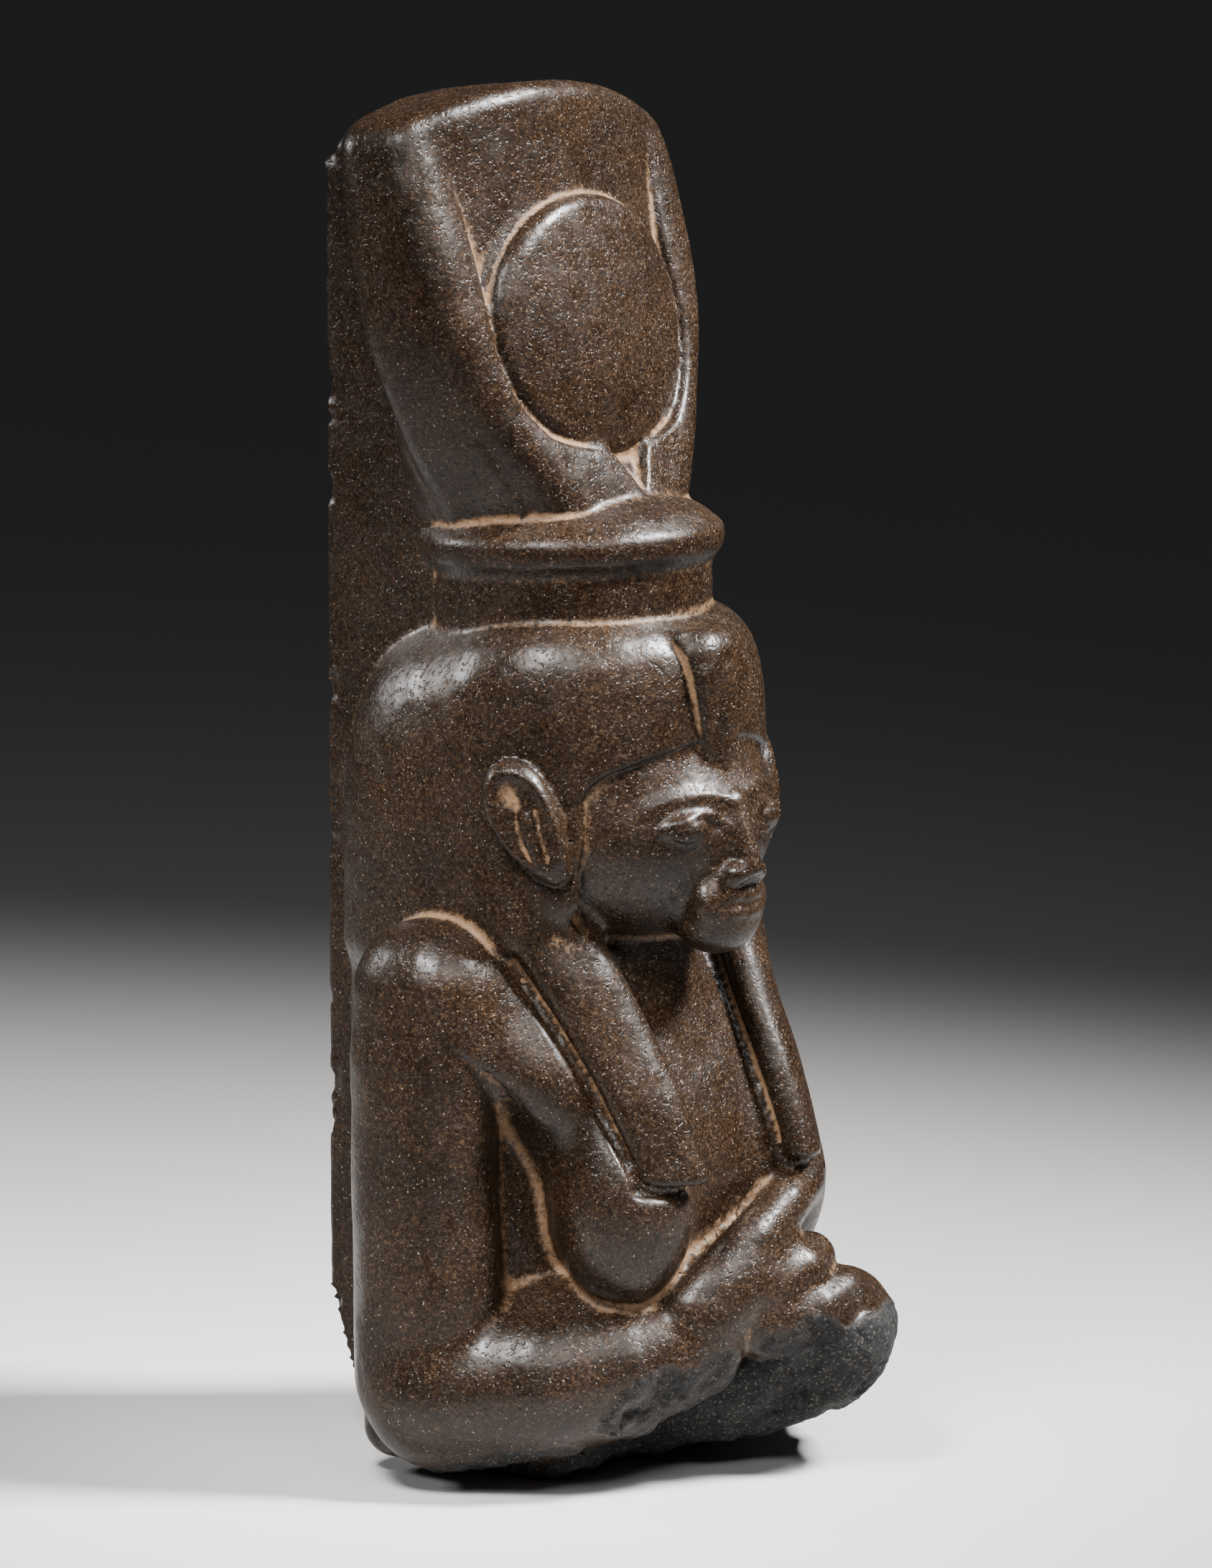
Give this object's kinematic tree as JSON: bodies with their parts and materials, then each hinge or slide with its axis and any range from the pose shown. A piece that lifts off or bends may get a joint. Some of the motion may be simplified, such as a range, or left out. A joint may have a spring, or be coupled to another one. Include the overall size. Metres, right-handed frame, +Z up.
{
  "type": "isis-hathor bust",
  "caption": "Broken bust of a goddess in dark stone, with horned sun disc, round crown base, tripartite wig, back pillar and one hand held to the breast",
  "frame": {"origin": "on the flat resting face under the bust, below the axis of the round crown base", "axes": "+Z up through the head and crown, the figure faces -Y, +X to the figure's own left"},
  "size_m": [0.116, 0.1088, 0.2741],
  "materials": {
    "stone": "satin"
  },
  "bodies": {
    "root": {"bust": "stone"}
  },
  "joints": []
}
